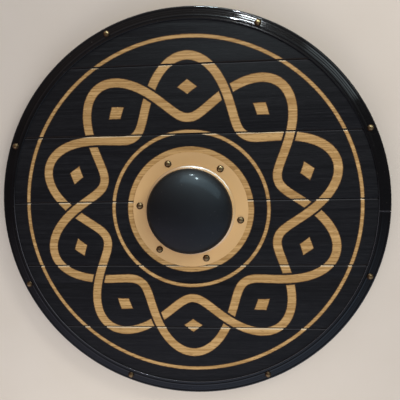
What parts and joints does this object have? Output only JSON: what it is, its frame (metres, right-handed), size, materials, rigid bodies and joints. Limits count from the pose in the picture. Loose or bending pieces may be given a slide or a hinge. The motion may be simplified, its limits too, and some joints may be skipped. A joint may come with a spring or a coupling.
{
  "type": "round shield",
  "caption": "Round wooden shield of joined planks with a folded steel rim, a hollow domed boss over a hand hole, and a wooden grip across the back.",
  "frame": {"origin": "middle of the shield, on the surface that its back lies on", "axes": "+Z out of the painted face, +Y towards the top of the shield, +X to the right as the face is looked at"},
  "size_m": [0.61, 0.61, 0.0719],
  "materials": {
    "planks": "black stained boards with visible grain, with bands left in the golden natural wood",
    "rim": "gloss black enamel over fine turned ridges",
    "boss": "satin tan-gold flange and satin black dome",
    "rivets": "antique brass, darkened",
    "bars": "bare pale wood, lightly oiled",
    "screws": "dull zinc plate"
  },
  "bodies": {
    "root": {"plank_1": "planks", "plank_2": "planks", "plank_3": "planks", "plank_4": "planks", "plank_5": "planks", "plank_6": "planks", "rim": "rim", "boss": "boss", "boss_rivet_1": "rivets", "boss_rivet_2": "rivets", "boss_rivet_3": "rivets", "boss_rivet_4": "rivets", "boss_rivet_5": "rivets", "boss_rivet_6": "rivets", "rim_rivet_1": "rivets", "rim_rivet_2": "rivets", "rim_rivet_3": "rivets", "rim_rivet_4": "rivets", "rim_rivet_5": "rivets", "rim_rivet_6": "rivets", "rim_rivet_7": "rivets", "rim_rivet_8": "rivets", "grip": "bars", "left_batten": "bars", "right_batten": "bars", "grip_screw_1": "screws", "grip_screw_2": "screws", "grip_screw_3": "screws", "grip_screw_4": "screws", "grip_screw_5": "screws", "left_batten_screw_1": "screws", "left_batten_screw_2": "screws", "left_batten_screw_3": "screws", "left_batten_screw_4": "screws", "right_batten_screw_1": "screws", "right_batten_screw_2": "screws", "right_batten_screw_3": "screws", "right_batten_screw_4": "screws"}
  },
  "joints": []
}
